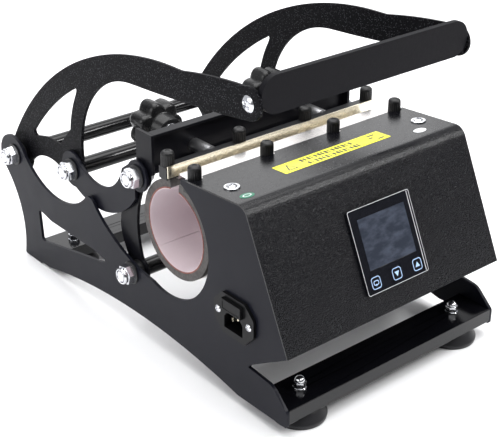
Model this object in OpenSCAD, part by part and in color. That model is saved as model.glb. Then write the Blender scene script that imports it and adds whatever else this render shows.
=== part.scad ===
// Mug heat press: toggle linkage, rear clamp beam with two star knobs, front control box.
// Millimetres, +Z up. X runs across the machine, +Y points to its rear.
// The origin is on the floor under the middle of the footprint.
// Side profiles are drawn as [y, z] points measured from a line through the middle of
// the heater, and in_frame() moves the finished piece to the origin.

/* [Side plates] */
// Width over the outer faces of the two base plates
frame_w = 256; // [250:1:270]
// Thickness of every side plate
plate_t = 3; // [2.5:0.5:3]
// Gap between one layer of plates and the next
layer_gap = 1.5; // [1.25:0.25:1.75]

/* [Linkage pivots] */
// Rear pivot of the handle, behind the heater's middle
rear_pivot_y = 263; // [262:1:264]
// Rear pivot height
rear_pivot_z = 113; // [112:1:114]
// Crank pin joining handle and link, behind the heater's middle
crank_pin_y = 159; // [158:1:160]
// Crank pin height
crank_pin_z = 132; // [131:1:133]
// Pin joining link and rocker, behind the heater's middle
link_pin_y = 49; // [48:1:50]
// Link pin height
link_pin_z = 164; // [163:1:165]
// Rocker pivot, behind the heater's middle
rocker_pivot_y = 58; // [57:1:59]
// Rocker pivot height
rocker_pivot_z = 64; // [63:1:65]
// Diameter of the pivot rods and pins
pivot_d = 10; // [8:1:10]
// Diameter of the black spacer tubes between the arms
tube_d = 16; // [15:1:18]

/* [Heater] */
// Height of the heater's centre line
heater_z = 128; // [127:1:129]
// Inner radius of the closed heating mat
mug_r = 38; // [36:1:38]
// Thickness of the heating mat
mat_t = 1.5; // [1:0.5:2]
// Outer radius of the silicone foam
foam_r = 47; // [46:0.5:47]
// Length of the foam along the mug
foam_len = 236; // [220:1:237]
// Thickness of the sprung steel band round the foam
band_t = 0.8; // [0.5:0.1:1]

/* [Clamp bars] */
// Length of the rear clamp bar and its bright strip
bar_len = 248; // [240:1:250]
// Spacing of the ribbed cap nuts along the bars
cap_pitch = 79; // [74:1:80]
// Radius of a ribbed cap nut
cap_r = 6; // [5.5:0.5:6.5]
// Height of a ribbed cap nut
cap_h = 14; // [12:1:17]

/* [Pressure adjustment] */
// Distance of each pressure rod from the middle
rod_x = 67; // [64:1:72]
// Height of the pressure rods
rod_z = 183; // [182:1:184]
// Diameter of a pressure rod
rod_d = 12; // [11:1:12]
// Outer radius of a star knob
knob_r = 25; // [24:0.5:26]
// Number of lobes on a star knob
knob_lobes = 7; // [5:1:8]

/* [Handle] */
// Height of the flat bar between the arms
handle_h = 32; // [28:1:34]
// Thickness of the flat bar
handle_t = 5; // [4:1:6]

/* [Control box] */
// Thickness of the folded sheets
sheet_t = 1.5; // [1:0.25:1.5]
// Width of the controller's front panel
panel_w = 73; // [68:1:76]
// Height of the controller's front panel along the slope
panel_h = 74; // [70:1:76]
// Sideways offset of the controller
panel_x = 4.5; // [0:0.5:8]

/* [Feet] */
// Radius of a rubber foot
foot_r = 24.5; // [20:0.5:25]
// Distance of the front feet from the middle
front_foot_x = 95; // [90:1:99]
// Distance of the rear feet from the middle
rear_foot_x = 99; // [90:1:99]

/* [Hidden] */
$fn = 64;
eps = 0.01;
// Bores are this much larger in radius than the pin that turns in them
run = 0.05;
// Middle of the footprint, behind the heater's middle
mid_y = 67;

rear_pivot = [rear_pivot_y, rear_pivot_z];
crank_pin = [crank_pin_y, crank_pin_z];
link_pin = [link_pin_y, link_pin_z];
rocker_pivot = [rocker_pivot_y, rocker_pivot_z];
heater = [0, heater_z];
pivot_r = pivot_d / 2;

// Outer faces of the three plate layers on each side
base_x = frame_w / 2;
base_in = base_x - plate_t;
link_x = base_in - layer_gap;
link_in = link_x - plate_t;
arm_x = link_in - layer_gap;
arm_in = arm_x - plate_t;

// Control box: rear edge of the top, fold at the top front, bottom front edge, turned-in edge
box_rear = [-31, 190];
box_fold = [-106, 195];
box_toe = [-160, 79];
box_return = [-148, 72];
// Lean of the sloping front, from upright
slope = atan2(box_fold.x - box_toe.x, box_fold.y - box_toe.y);
slope_len = norm(box_fold - box_toe);
fold_r = 13;
// Outer line of the folded shell
shell_path = concat([box_rear], corner(box_rear, box_fold, box_toe, fold_r), [box_toe]);

// Box floor, controller, power inlet, screws and stickers on the box
floor_front = [-145, 69.5];
floor_z = 52.5;
floor_rear_y = -54;
panel_down = 71;
key_x = [-25, 0, 25];
key_up = -28;
inlet_y = -95;
inlet_z = 89;
inlet_screw_y = 20;
shell_screw_x = 110;
shell_screw_y = -68;
label_at = [2, -69];
label_size = [124, 19];
sticker_at = [[-112, -90], [93, -86]];

// Cross plates under the base
cross_z = 28;
cross_d = 38;
front_cross_y = -141;
rear_cross_y = 209;
front_foot_y = -139;
rear_foot_y = 207;
foot_bolt_r = 3;
foot_nut_af = 10;

// Heater gap at the top and the line at the lower rear where the band flexes
gap_front = 98;
gap_rear = 82;
flex_angle = -45;
band_r = foam_r + band_t;
band_len = foam_len - 12;
mat_r = mug_r + mat_t;

// Clamp bars
cap_x = [for (i = [-1.5:1.5]) i * cap_pitch];
rear_cap_y = 8.5;
front_cap_y = -29.5;
bar_top = 187.5;
bar_bottom = 176.5;
bar_front = 3;
bar_rear = 14;
strip_face = 0.6;
strip_t = 1;
strip_top = 190;
strip_low = 179;
front_strip_z = 187;
front_bar_low = 176;

// Beam between the rockers
beam_y = 31;
beam_d = 24;
beam_bottom = 170.5;
beam_top = 207;
beam_wall = 2.5;
beam_lip = 10;
sleeve_r = 8.5;
sleeve_end = 73;
hub_end = 87;
knob_end = 109;
thread_r = 5;

// Handle bar and its two ears
handle_face = -112;
handle_z = 284;
handle_pin = [-100, 277];

// Outer arch of the arm and its bend behind the heater
arch_c = [-7, -62];
arch_r = 341;
bend_c = [52, 152];
bend_r = 95;

// Fixings
nut_af = 16;
nut_h = 9;
washer_t = 1.5;
screw_r = 3;

// ---- Outline helpers ----

// Points along an arc about c, from angle a0 to a1
function arc(c, r, a0, a1, n = 16) =
    [for (i = [0:n]) let (a = a0 + (a1 - a0) * i / n) c + r * [cos(a), sin(a)]];

// Points along a shallow arc from p to q that rises h to the left of the way from p to q
function bow(p, q, h, n = 16) =
    let (
        c = norm(q - p),
        r = (c * c / 4 + h * h) / (2 * h),
        left = [p.y - q.y, q.x - p.x] / c,
        o = (p + q) / 2 + left * (h - r),
        a0 = atan2(p.y - o.y, p.x - o.x),
        a1 = atan2(q.y - o.y, q.x - o.x),
        sweep = (a1 - a0 + 540) % 360 - 180
    )
    arc(o, abs(r), a0, a0 + sweep, n);

// Points of a rounded corner of radius r at q, between neighbours p and s
function corner(p, q, s, r, n = 8) =
    let (
        a = (p - q) / norm(p - q),
        b = (s - q) / norm(s - q),
        half = acos(a * b) / 2,
        o = q + (a + b) / norm(a + b) * r / sin(half),
        p0 = q + a * r / tan(half),
        p1 = q + b * r / tan(half),
        a0 = atan2(p0.y - o.y, p0.x - o.x),
        a1 = atan2(p1.y - o.y, p1.x - o.x),
        sweep = (a1 - a0 + 540) % 360 - 180
    )
    arc(o, r, a0, a0 + sweep, n);

// Closed outline from [y, z, radius] corners; a point without a radius stays sharp
function rounded(pts) =
    let (n = len(pts), at = [for (p = pts) [p.x, p.y]])
    [for (i = [0:n - 1])
        each (len(pts[i]) == 3
            ? corner(at[(i + n - 1) % n], at[i], at[(i + 1) % n], pts[i][2])
            : [at[i]])];

// Left-hand normal of a path at point i, lengthened at the bends
function mitre(pts, i) =
    let (
        n = len(pts),
        d0 = i > 0 ? pts[i] - pts[i - 1] : pts[1] - pts[0],
        d1 = i < n - 1 ? pts[i + 1] - pts[i] : pts[n - 1] - pts[n - 2],
        n0 = [-d0.y, d0.x] / norm(d0),
        n1 = [-d1.y, d1.x] / norm(d1)
    )
    (n0 + n1) / (1 + n0 * n1);

// The same path moved t to its left, in reverse order
function beside(pts, t) = [for (i = [len(pts) - 1:-1:0]) pts[i] + t * mitre(pts, i)];

// Outline of a sheet t thick to the left of a path
function sheet(pts, t) = concat(pts, beside(pts, t));

// ---- Placing helpers ----

module in_frame() translate([0, -mid_y, 0]) children();

// Extrudes a side profile in [y, z] from x0 to x1
module across(x0, x1) translate([x0, 0, 0]) rotate([90, 0, 90]) linear_extrude(x1 - x0) children();

// Extrudes a profile across the machine, centred
module centred(len) across(-len / 2, len / 2) children();

module mirrored() {
    children();
    mirror([1, 0, 0]) children();
}

// Cylinder along X at [y, z] point c
module x_rod(c, r, x0, x1) translate([x0, c.x, c.y]) rotate([0, 90, 0]) cylinder(r = r, h = x1 - x0);

// Cylinder along Y from y0 to y1
module y_rod(x, z, r, y0, y1) translate([x, y0, z]) rotate([-90, 0, 0]) cylinder(r = r, h = y1 - y0);

// Part of a ring about the heater's centre, between two angles
module ring_part(r0, r1, a0, a1) polygon(concat(arc(heater, r1, a0, a1, 48), arc(heater, r0, a1, a0, 48)));

// Frame on the sloping front: X across, Y up the slope, Z outward; s is measured down from the fold
module on_slope(s, x = 0) {
    t = s / slope_len;
    translate([x, box_fold.x + (box_toe.x - box_fold.x) * t, box_fold.y + (box_toe.y - box_fold.y) * t])
        rotate([90 - slope, 0, 0]) children();
}

// Self-locking nut standing on x = 0 and pointing to -X, with its washer
module side_nut(bore) rotate([0, -90, 0]) difference() {
    union() {
        cylinder(r = nut_af * 0.66, h = washer_t);
        translate([0, 0, washer_t - eps]) cylinder(d = nut_af / cos(30), h = nut_h, $fn = 6);
        translate([0, 0, washer_t + nut_h - 2 * eps]) cylinder(d = nut_af * 0.84, h = 2.5);
    }
    translate([0, 0, -1]) cylinder(r = bore, h = 20);
}

// ---- Base ----

// Side plate of the base: rear ear, valley, hump, heater recess, box wall, front foot and long arch
module base_outline() polygon(concat(
    rounded(concat(
        [[box_rear.x + 9, box_rear.y - sheet_t, 2]],
        arc([3, 127.5], 61.8, 114, 288, 40),
        bow([25, 69.5], [104, 99], -6),
        [[112, 106, 12], [124, 120, 9]],
        bow([137, 108], [248, 124.5], -24.5, 24),
        arc([267, 107], 25.5, 135, -22),
        bow([290.5, 97], [259, 3], -15),
        [[258.5, 0.5, 2], [228, 0.5, 1], [226, 2.5]],
        bow([212, 2.5], [-97, 11], -16.5, 24),
        [[-160, 12, 2], [-160, 27, 6], [-141, 44.5, 14], [-111, 47], [-113, 50.5]],
        beside(shell_path, sheet_t + eps)
    ))
));

// Opening in the base plate under the valley
module base_window() polygon(rounded([
    [224, 66, 4], [221.5, 30, 4], [104, 54, 1.5], [103, 57.5, 1.5], [122, 61, 20], [200, 61, 20]
]));

module base_plate() color([0.09, 0.1, 0.12]) in_frame() difference() {
    across(-base_x, -base_in) difference() {
        base_outline();
        base_window();
    }
    for (c = [rear_pivot, rocker_pivot]) x_rod(c, pivot_r, -base_x - 1, -base_in + 1);
}

module inlet_cutout() in_frame() {
    translate([-base_x - 1, inlet_y - 14.3, inlet_z - 18.3]) cube([plate_t + 2, 28.6, 35.6]);
    for (d = [-inlet_screw_y, inlet_screw_y])
        x_rod([inlet_y + d, inlet_z], 1.75, -base_x - 1, -base_in + 1);
}

module left_base_plate() difference() {
    base_plate();
    color([0.09, 0.1, 0.12]) inlet_cutout();
}

module right_base_plate() mirror([1, 0, 0]) base_plate();

// Folded channel between the base plates, open below
module cross_plate(y, foot_x, foot_y) color([0.12, 0.12, 0.13]) difference() {
    centred(2 * base_in) polygon(sheet([
        [y - cross_d / 2, 14.5], [y - cross_d / 2, cross_z], [y + cross_d / 2, cross_z],
        [y + cross_d / 2, 14.5]
    ], -2.5));
    for (x = [-foot_x, foot_x]) translate([x, foot_y, 20]) cylinder(r = foot_bolt_r + 0.2, h = 20);
}

module front_cross_plate() in_frame() cross_plate(front_cross_y, front_foot_x, front_foot_y);

module rear_cross_plate() in_frame() cross_plate(rear_cross_y, rear_foot_x, rear_foot_y);

module at_feet() in_frame() {
    for (x = [-front_foot_x, front_foot_x]) translate([x, front_foot_y, 0]) children();
    for (x = [-rear_foot_x, rear_foot_x]) translate([x, rear_foot_y, 0]) children();
}

// Rubber foot: wide pad with a neck that meets the cross plate
module rubber_feet() color([0.05, 0.05, 0.05]) at_feet() rotate_extrude() polygon(rounded([
    [foot_bolt_r, 0], [foot_r - 1, 0, 1], [foot_r, 4, 3], [foot_r - 5, 13, 3], [14, 14.5, 2], [13, 25.5],
    [foot_bolt_r, 25.5]
]));

module foot_bolts() color([0.8, 0.8, 0.82]) at_feet()
    translate([0, 0, 6]) cylinder(r = foot_bolt_r - run, h = 28);

// Domed nut and washer on top of the cross plate
module foot_acorn_nuts() color([0.85, 0.85, 0.87]) at_feet() translate([0, 0, cross_z]) difference() {
    union() {
        cylinder(r = foot_nut_af * 0.6, h = 1);
        cylinder(d = foot_nut_af / cos(30), h = 6, $fn = 6);
        translate([0, 0, 6]) rotate_extrude() intersection() {
            circle(foot_nut_af * 0.48);
            square(6);
        }
    }
    translate([0, 0, -1]) cylinder(r = foot_bolt_r - run, h = 7.5);
}

// Threaded rods fixed in the base plates at the rear pivot and the rocker pivot
module pivot_rods() color([0.75, 0.75, 0.77]) in_frame()
    for (c = [rear_pivot, rocker_pivot]) x_rod(c, pivot_r, -base_x - 12.5, base_x + 12.5);

module pivot_spacers() color([0.1, 0.1, 0.1]) in_frame() mirrored() for (c = [rear_pivot, rocker_pivot])
    difference() {
        x_rod(c, 10, -base_in, -arm_x - 0.2);
        x_rod(c, pivot_r, -base_x, -arm_in);
    }

module pivot_nuts() color([0.85, 0.85, 0.87]) in_frame() mirrored() for (c = [rear_pivot, rocker_pivot])
    translate([-base_x, c.x, c.y]) side_nut(pivot_r);

// ---- Control box ----

// One folded sheet: top, sloping front and a short turned-in edge between the plates
module front_shell() color([0.13, 0.13, 0.14]) in_frame() difference() {
    union() {
        centred(2 * base_x) polygon(sheet(shell_path, sheet_t));
        centred(2 * base_in - 0.4)
            polygon(sheet([box_toe * 0.95 + box_fold * 0.05, box_toe, box_return], sheet_t));
    }
    for (x = cap_x) translate([x, front_cap_y, 180]) cylinder(r = cap_r + 1, h = 20);
    mirrored() on_top(-shell_screw_x, shell_screw_y) translate([0, 0, -10]) cylinder(r = screw_r, h = 20);
    on_slope(panel_down, panel_x) translate([-31.5, -35, -5]) cube([63, 67, 10]);
}

// Floor of the box, from behind the front return, with a rear wall up to the heat shield
module box_floor() color([0.1, 0.1, 0.1]) in_frame() centred(2 * base_in)
    polygon(sheet([floor_front, [-114, floor_z], [floor_rear_y, floor_z], [floor_rear_y, 104]], sheet_t));

// Curved sheet between the electronics and the heater, hung from the front clamp bar
module heat_shield() color([0.6, 0.6, 0.62]) in_frame() centred(foam_len)
    polygon(sheet(concat(arc(heater, foam_r + 3.5, 211, 113, 32), [[-37, front_bar_low - 1.2]]), 1.2));

// Small angles that carry the shell's screws
module shell_brackets() color([0.12, 0.12, 0.13]) in_frame() mirrored() difference() {
    across(-base_in, -101) polygon([[-86, 172], [-50, 172], [-50, 189.5], [-86, 192]]);
    translate([-base_in + 2, -90, 160]) cube([30, 50, 27.5]);
    on_top(-shell_screw_x, shell_screw_y) translate([0, 0, -16]) cylinder(r = screw_r, h = 20);
}

module shell_screws() color([0.85, 0.85, 0.87]) in_frame() mirrored() on_top(-shell_screw_x, shell_screw_y) {
    translate([0, 0, -9]) cylinder(r = screw_r - 0.04, h = 10);
    cylinder(r = 7, h = 1.2);
    translate([0, 0, 1.1]) rotate_extrude() intersection() {
        translate([0, -4]) circle(7);
        square([5.5, 3]);
    }
}

// Box behind the controller panel
module controller_case() color([0.1, 0.1, 0.1]) in_frame() on_slope(panel_down, panel_x) difference() {
    translate([-31, -34.5, -38]) cube([62, 66, 37.5]);
    translate([-29, -32.5, -36]) cube([58, 62, 40]);
}

module controller_panel() color([0.03, 0.03, 0.04]) in_frame() on_slope(panel_down, panel_x) difference() {
    linear_extrude(2.5) polygon(rounded([
        [-panel_w / 2, -panel_h / 2, 2], [panel_w / 2, -panel_h / 2, 2],
        [panel_w / 2, panel_h / 2, 2], [-panel_w / 2, panel_h / 2, 2]
    ]));
    translate([-28, -17, 1]) cube([56, 45, 3]);
    for (x = key_x) translate([x - 6.2, key_up - 6.2, -1]) cube([12.4, 12.4, 5]);
}

module display_window() color([0.3, 0.36, 0.42]) in_frame() on_slope(panel_down, panel_x)
    translate([-27.8, -16.8, 1]) cube([55.6, 44.6, 1.6]);

// Soft key with its stem; it moves into the panel when pressed
module key(x) color([0.04, 0.04, 0.05]) in_frame() on_slope(panel_down, panel_x) union() {
    translate([x - 6, key_up - 6, 0.6]) linear_extrude(2) polygon(rounded([
        [0, 0, 2.5], [12, 0, 2.5], [12, 12, 2.5], [0, 12, 2.5]
    ]));
    translate([x, key_up, -1.4]) cylinder(r = 2, h = 2.1);
}

module timer_key() key(key_x[0]);

module down_key() key(key_x[1]);

module up_key() key(key_x[2]);

module controller_board() color([0.1, 0.35, 0.2]) in_frame() on_slope(panel_down, panel_x) union() {
    translate([-26.5, -27.5, -6]) cube([53, 55, 1.6]);
    translate([-20, -5, -20]) cube([22, 26, 14.5]);
    for (x = key_x) translate([x, key_up, -4.5]) cylinder(r = 2.5, h = 2);
}

// Relay that switches the heater, on the box floor
module heater_relay() color([0.75, 0.75, 0.72]) in_frame()
    translate([55, -95, floor_z + sheet_t]) cube([44, 30, 22]);

// ---- Power inlet ----

// Appliance inlet with a drawer for its fuse, on the left plate
module on_left() in_frame() translate([-base_x, inlet_y, inlet_z]) rotate([90, 0, -90]) children();

module inlet_face() polygon(rounded([
    [-14.5, -20, 2], [14.5, -20, 2], [26, -8, 4], [26, 8, 4], [14.5, 19, 2], [-14.5, 19, 2],
    [-26, 8, 4], [-26, -8, 4]
]));

module power_inlet() color([0.06, 0.06, 0.06]) on_left() difference() {
    union() {
        linear_extrude(3) inlet_face();
        translate([-14, -18, -28]) cube([28, 35, 29]);
    }
    translate([0, 0, -16]) linear_extrude(20) polygon([
        [-12, -14], [12, -14], [12, -3], [8, 1.5], [-8, 1.5], [-12, -3]
    ]);
    translate([-11.3, 5, -20]) cube([22.6, 9.6, 30]);
    for (x = [-7, 0, 7]) translate([x - 1, x == 0 ? -5 : -9, -40]) cube([2, 4, 42]);
    for (d = [-inlet_screw_y, inlet_screw_y]) translate([d, 0, -5]) cylinder(r = 1.75, h = 10);
}

module inlet_blades() color([0.8, 0.75, 0.6]) on_left() for (x = [-7, 0, 7])
    translate([x - 1, x == 0 ? -5 : -9, -34]) cube([2, 4, 32]);

module fuse_drawer() color([0.07, 0.07, 0.07]) on_left() difference() {
    union() {
        translate([-11, 5.3, -19.5]) cube([22, 9, 19.6]);
        translate([-12.5, 4.5, 3.1]) cube([25, 10.6, 2.6]);
        translate([-11, 5.3, 0]) cube([22, 9, 3.2]);
    }
    translate([0, 9.8, -18]) cylinder(r = 2.8, h = 20.2);
}

module fuse() color([0.8, 0.8, 0.82]) on_left() translate([0, 9.8, -17.9]) cylinder(r = 2.6, h = 20);

module inlet_screws() color([0.8, 0.8, 0.82]) on_left()
for (d = [-inlet_screw_y, inlet_screw_y]) translate([d, 0, 0]) {
    translate([0, 0, -9]) cylinder(r = 1.73, h = 12.5);
    translate([0, 0, 3]) rotate_extrude() intersection() {
        translate([0, -1]) circle(3.2);
        square([3.2, 3]);
    }
    translate([0, 0, -5.6]) cylinder(d = 5.5 / cos(30), h = 2.6, $fn = 6);
}

// ---- Heater, front part, fixed to the box ----

module front_clamp_bar() color([0.1, 0.1, 0.1]) in_frame() difference() {
    centred(2 * base_in) translate([-38, front_bar_low]) square([16, 7.5]);
    for (x = cap_x) translate([x, front_cap_y, 170]) cylinder(r = 2.5, h = 20);
}

// Bright strip on the front bar
module front_strip() color([0.9, 0.9, 0.92]) in_frame() difference() {
    centred(2 * base_in - 10) polygon([[-38, 185.5], [-10.5, 185.5], [-10.5, 187], [-38, 187]]);
    for (x = cap_x) translate([x, front_cap_y, 170]) cylinder(r = 2.5, h = 20);
}

// Ribbed cap with its bolt, standing at height z
module cap_nut(y, z) for (x = cap_x) translate([x, y, z]) {
    rotate_extrude()
        polygon(concat([[0, 0], [cap_r, 0]], arc([cap_r - 4, cap_h - 4], 4, 0, 90), [[0, cap_h]]));
    translate([0, 0, -10]) cylinder(r = 2.48, h = 10.5);
}

module front_cap_nuts() color([0.06, 0.06, 0.06]) in_frame() cap_nut(front_cap_y, front_strip_z);

// Sprung band: ring part, then up to the flange under the front strip
module front_band() color([0.8, 0.8, 0.82]) in_frame() difference() {
    centred(band_len) polygon(sheet(concat(
        arc(heater, foam_r, 360 + flex_angle, gap_front, 48),
        [[-9, 181.5], [-13, 184.65], [-38, 184.65]]
    ), band_t));
    for (x = cap_x) translate([x, front_cap_y, 170]) cylinder(r = 2.6, h = 20);
}

module front_foam() color([0.5, 0.5, 0.52]) in_frame() centred(foam_len)
    ring_part(mat_r, foam_r, gap_front, 360 + flex_angle);

module front_mat() color([0.85, 0.78, 0.78]) in_frame() centred(foam_len)
    ring_part(mug_r, mat_r, gap_front, 360 + flex_angle);

// ---- Heater, rear part, flexes about the line at its lower rear ----

module rear_band() color([0.8, 0.8, 0.82]) in_frame() centred(band_len)
    polygon(sheet(concat(
        arc(heater, foam_r, flex_angle + 0.4, gap_rear, 48),
        arc(heater, foam_r, gap_rear + 2, gap_rear + 5, 2),
        [[strip_face + strip_t + eps, 177.5], [strip_face + strip_t + eps, strip_top - 3.5]]
    ), -band_t * 0.6));

module rear_strip() color([0.86, 0.8, 0.6]) in_frame() centred(bar_len)
    translate([strip_face, strip_low]) square([strip_t, strip_top - strip_low]);

module rear_foam() color([0.5, 0.5, 0.52]) in_frame() centred(foam_len)
    ring_part(mat_r, foam_r, flex_angle + 0.4, gap_rear);

module rear_mat() color([0.85, 0.78, 0.78]) in_frame() centred(foam_len)
    ring_part(mug_r, mat_r, flex_angle + 0.4, gap_rear);

// ---- Rear clamp bar with its rods ----

module rear_clamp_bar() color([0.12, 0.12, 0.12]) in_frame() difference() {
    centred(bar_len) polygon([
        [bar_front, bar_bottom], [bar_rear, bar_bottom], [bar_rear, bar_top], [bar_front, bar_top]
    ]);
    for (x = cap_x) translate([x, rear_cap_y, 170]) cylinder(r = 2.5, h = 20);
    for (x = [-rod_x, rod_x]) y_rod(x, rod_z, 3, 8, bar_rear + 1);
}

module rear_cap_nuts() color([0.06, 0.06, 0.06]) in_frame() cap_nut(rear_cap_y, bar_top);

// Smooth shaft with a spigot in the clamp bar and a threaded tail in the knob
module pressure_rods() color([0.85, 0.85, 0.87]) in_frame() for (x = [-rod_x, rod_x]) {
    y_rod(x, rod_z, 2.98, 8.5, 15);
    y_rod(x, rod_z, rod_d / 2, bar_rear, sleeve_end - 8);
    y_rod(x, rod_z, thread_r, sleeve_end - 9, knob_end + 1);
}

// ---- Rockers and beam ----

// Side plate of the rocker: end of the beam above, bowed leg round the heater, pivot lobe below
module rocker() color([0.1, 0.1, 0.11]) in_frame() difference() {
    union() {
        across(-arm_x, -arm_in) polygon(concat(
            [[beam_y, beam_bottom - 1], [beam_y, beam_top], [beam_y + beam_d, beam_top]],
            corner([beam_y + beam_d, beam_top], [beam_y + beam_d, 178], [82, 128], 20),
            corner([beam_y + beam_d, 178], [82, 128], [87, 96], 40),
            corner([82, 128], [87, 96], [70, 56], 40),
            [[68, 55]],
            bow([46, 62], [38, 165], -16.5)
        ));
        x_rod(link_pin, 12.5, -arm_x, -arm_in);
        x_rod(rocker_pivot, 13, -arm_x, -arm_in);
    }
    x_rod(link_pin, pivot_r + 1, -arm_x - 1, -arm_in + 1);
    x_rod(rocker_pivot, pivot_r + run, -arm_x - 1, -arm_in + 1);
}

module left_rocker() rocker();

module right_rocker() mirror([1, 0, 0]) rocker();

// Folded channel, open to the front, whose rear web carries the pressure rods
module press_beam() color([0.09, 0.09, 0.1]) in_frame() difference() {
    centred(2 * arm_in) polygon(sheet([
        [beam_y, beam_bottom], [beam_y + beam_lip, beam_bottom],
        [beam_y + beam_lip, beam_top], [beam_y, beam_top]
    ], beam_wall));
    for (x = [-rod_x, rod_x])
        y_rod(x, rod_z, rod_d / 2 + run, beam_y + beam_lip - 5, beam_y + beam_lip + 1);
}

module rocker_tube() color([0.06, 0.06, 0.06]) in_frame() difference() {
    x_rod(rocker_pivot, tube_d / 2, -arm_in, arm_in);
    x_rod(rocker_pivot, pivot_r + run, -arm_x, arm_x);
}

// Pins that carry the front ends of the links, held in the rockers
module rocker_pins() color([0.8, 0.8, 0.82]) in_frame() mirrored() union() {
    x_rod(link_pin, pivot_r + 0.98, -arm_x + 0.1, -arm_in + 1);
    x_rod(link_pin, 8, -arm_in, -arm_in + 6);
}

// Sleeves between the beam and the knobs
module rod_sleeves() color([0.6, 0.6, 0.62]) in_frame() for (x = [-rod_x, rod_x]) difference() {
    y_rod(x, rod_z, sleeve_r, beam_y + beam_lip, sleeve_end - 0.2);
    y_rod(x, rod_z, rod_d / 2 + run, beam_y, sleeve_end + 1);
}

// ---- Star knobs ----

module star_knob(x) color([0.05, 0.05, 0.05]) in_frame() difference() {
    union() {
        y_rod(x, rod_z, 14, sleeve_end, hub_end + 1);
        y_rod(x, rod_z, knob_r - 6, hub_end, knob_end);
        for (a = [0:360 / knob_lobes:359])
            y_rod(x + (knob_r - 7) * cos(a), rod_z + (knob_r - 7) * sin(a), 7, hub_end, knob_end);
    }
    y_rod(x, rod_z, thread_r + run, sleeve_end - 1, knob_end + 1);
}

module left_knob() star_knob(-rod_x);

module right_knob() star_knob(rod_x);

// ---- Links ----

// Sagging link between the crank pin and the rocker
module link() color([0.1, 0.11, 0.13]) in_frame() difference() {
    union() {
        across(-link_x, -link_in) polygon(concat(
            arc([119, 186.5], 80.5, -53, -145, 24),
            [link_pin + [4, 14]],
            arc([115.5, 176], 44.5, 196, 312, 24)
        ));
        x_rod(crank_pin, 18, -link_x, -link_in);
        x_rod(link_pin, 15, -link_x, -link_in);
    }
    x_rod(crank_pin, pivot_r + run, -link_x - 1, -link_in + 1);
    x_rod(link_pin, pivot_r, -link_x - 1, -link_in + 1);
}

module left_link() link();

module right_link() mirror([1, 0, 0]) link();

// Pin and self-locking nut at the front of each link; the pin stops short of the rocker
module link_pins() color([0.85, 0.85, 0.87]) in_frame() mirrored() union() {
    x_rod(link_pin, pivot_r, -link_x - 12.5, -link_in + 0.6);
    translate([-link_x, link_pin.x, link_pin.y]) side_nut(pivot_r - 0.5);
}

// ---- Handle ----

// Arched arm: outer arch, round front end, bend behind the heater and lower bar
module arm_outline() polygon(concat(
    arc(arch_c, arch_r, 33, 90, 40),
    bow([-14, 279.2], [-95, 290], -1.5, 6),
    arc(handle_pin, 14, 75, 265),
    bow([-88, 261], [48, 247.5], -1.2, 8),
    arc(bend_c, bend_r, 88, -4, 32),
    [crank_pin + [-8, -10], crank_pin + [12, -10]],
    bow([183, 120], [250, 104], 12),
    [rear_pivot + [14, -10]]
));

// Three-sided opening in the arm
module arm_hole() polygon(rounded(concat(
    arc(arch_c, arch_r - 21.5, 40.8, 59.6, 24),
    [[145.5, 224, 2]],
    arc(bend_c, bend_r + 19.5, 30, 9, 12),
    [[187, 147, 9], [212, 146.8, 30], [236, 140.5, 4]]
)));

module arm() color([0.08, 0.08, 0.09]) in_frame() difference() {
    union() {
        across(-arm_x, -arm_in) arm_outline();
        x_rod(rear_pivot, 18.5, -arm_x, -arm_in);
        x_rod(crank_pin, 15, -arm_x, -arm_in);
    }
    across(-arm_x - 1, -arm_in + 1) arm_hole();
    x_rod(rear_pivot, pivot_r + run, -arm_x - 1, -arm_in + 1);
    x_rod(crank_pin, pivot_r + run, -arm_x - 1, -arm_in + 1);
    x_rod(handle_pin, 4, -arm_x - 1, -arm_in + 1);
}

module left_arm() arm();

module right_arm() mirror([1, 0, 0]) arm();

// Flat bar with round ends and an ear behind each end
module handle_bar() color([0.07, 0.07, 0.08]) in_frame() difference() {
    union() {
        translate([0, handle_face + handle_t, handle_z]) rotate([90, 0, 0]) linear_extrude(handle_t)
            polygon(concat(
                arc([arm_in - handle_h / 2, 0], handle_h / 2, -90, 90, 24),
                arc([-arm_in + handle_h / 2, 0], handle_h / 2, 90, 270, 24)
            ));
        mirrored() x_rod(handle_pin, 11, -arm_in, -arm_in + 3);
        mirrored() translate([-arm_in, handle_face + 2, handle_pin.y - 9]) cube([3, 10, 18]);
    }
    for (s = [-1, 1]) x_rod(handle_pin, 4, s * arm_in - 5, s * arm_in + 5);
}

module handle_screws() color([0.85, 0.85, 0.87]) in_frame() mirrored() union() {
    x_rod(handle_pin, 3.98, -arm_x - 1, -arm_in + 10);
    translate([-arm_x, handle_pin.x, handle_pin.y]) rotate([0, -90, 0]) rotate_extrude()
        intersection() {
            translate([0, -7]) circle(10.5);
            square([7, 6]);
        }
    translate([-arm_in + 3, handle_pin.x, handle_pin.y]) rotate([0, 90, 0])
        cylinder(d = 13 / cos(30), h = 5, $fn = 6);
}

// Black tubes welded between the arms at the rear pivot and the crank pin
module handle_tubes() color([0.06, 0.06, 0.06]) in_frame() difference() {
    for (c = [rear_pivot, crank_pin]) x_rod(c, tube_d / 2, -arm_in, arm_in);
    x_rod(rear_pivot, pivot_r + run, -arm_x, arm_x);
    x_rod(crank_pin, pivot_r + run, -arm_x, arm_x);
}

module crank_rod() color([0.75, 0.75, 0.77]) in_frame()
    x_rod(crank_pin, pivot_r, -link_x - 12.5, link_x + 12.5);

module crank_nuts() color([0.85, 0.85, 0.87]) in_frame() mirrored()
    translate([-link_x - 0.2, crank_pin.x, crank_pin.y]) side_nut(pivot_r);

// ---- Labels ----

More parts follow.
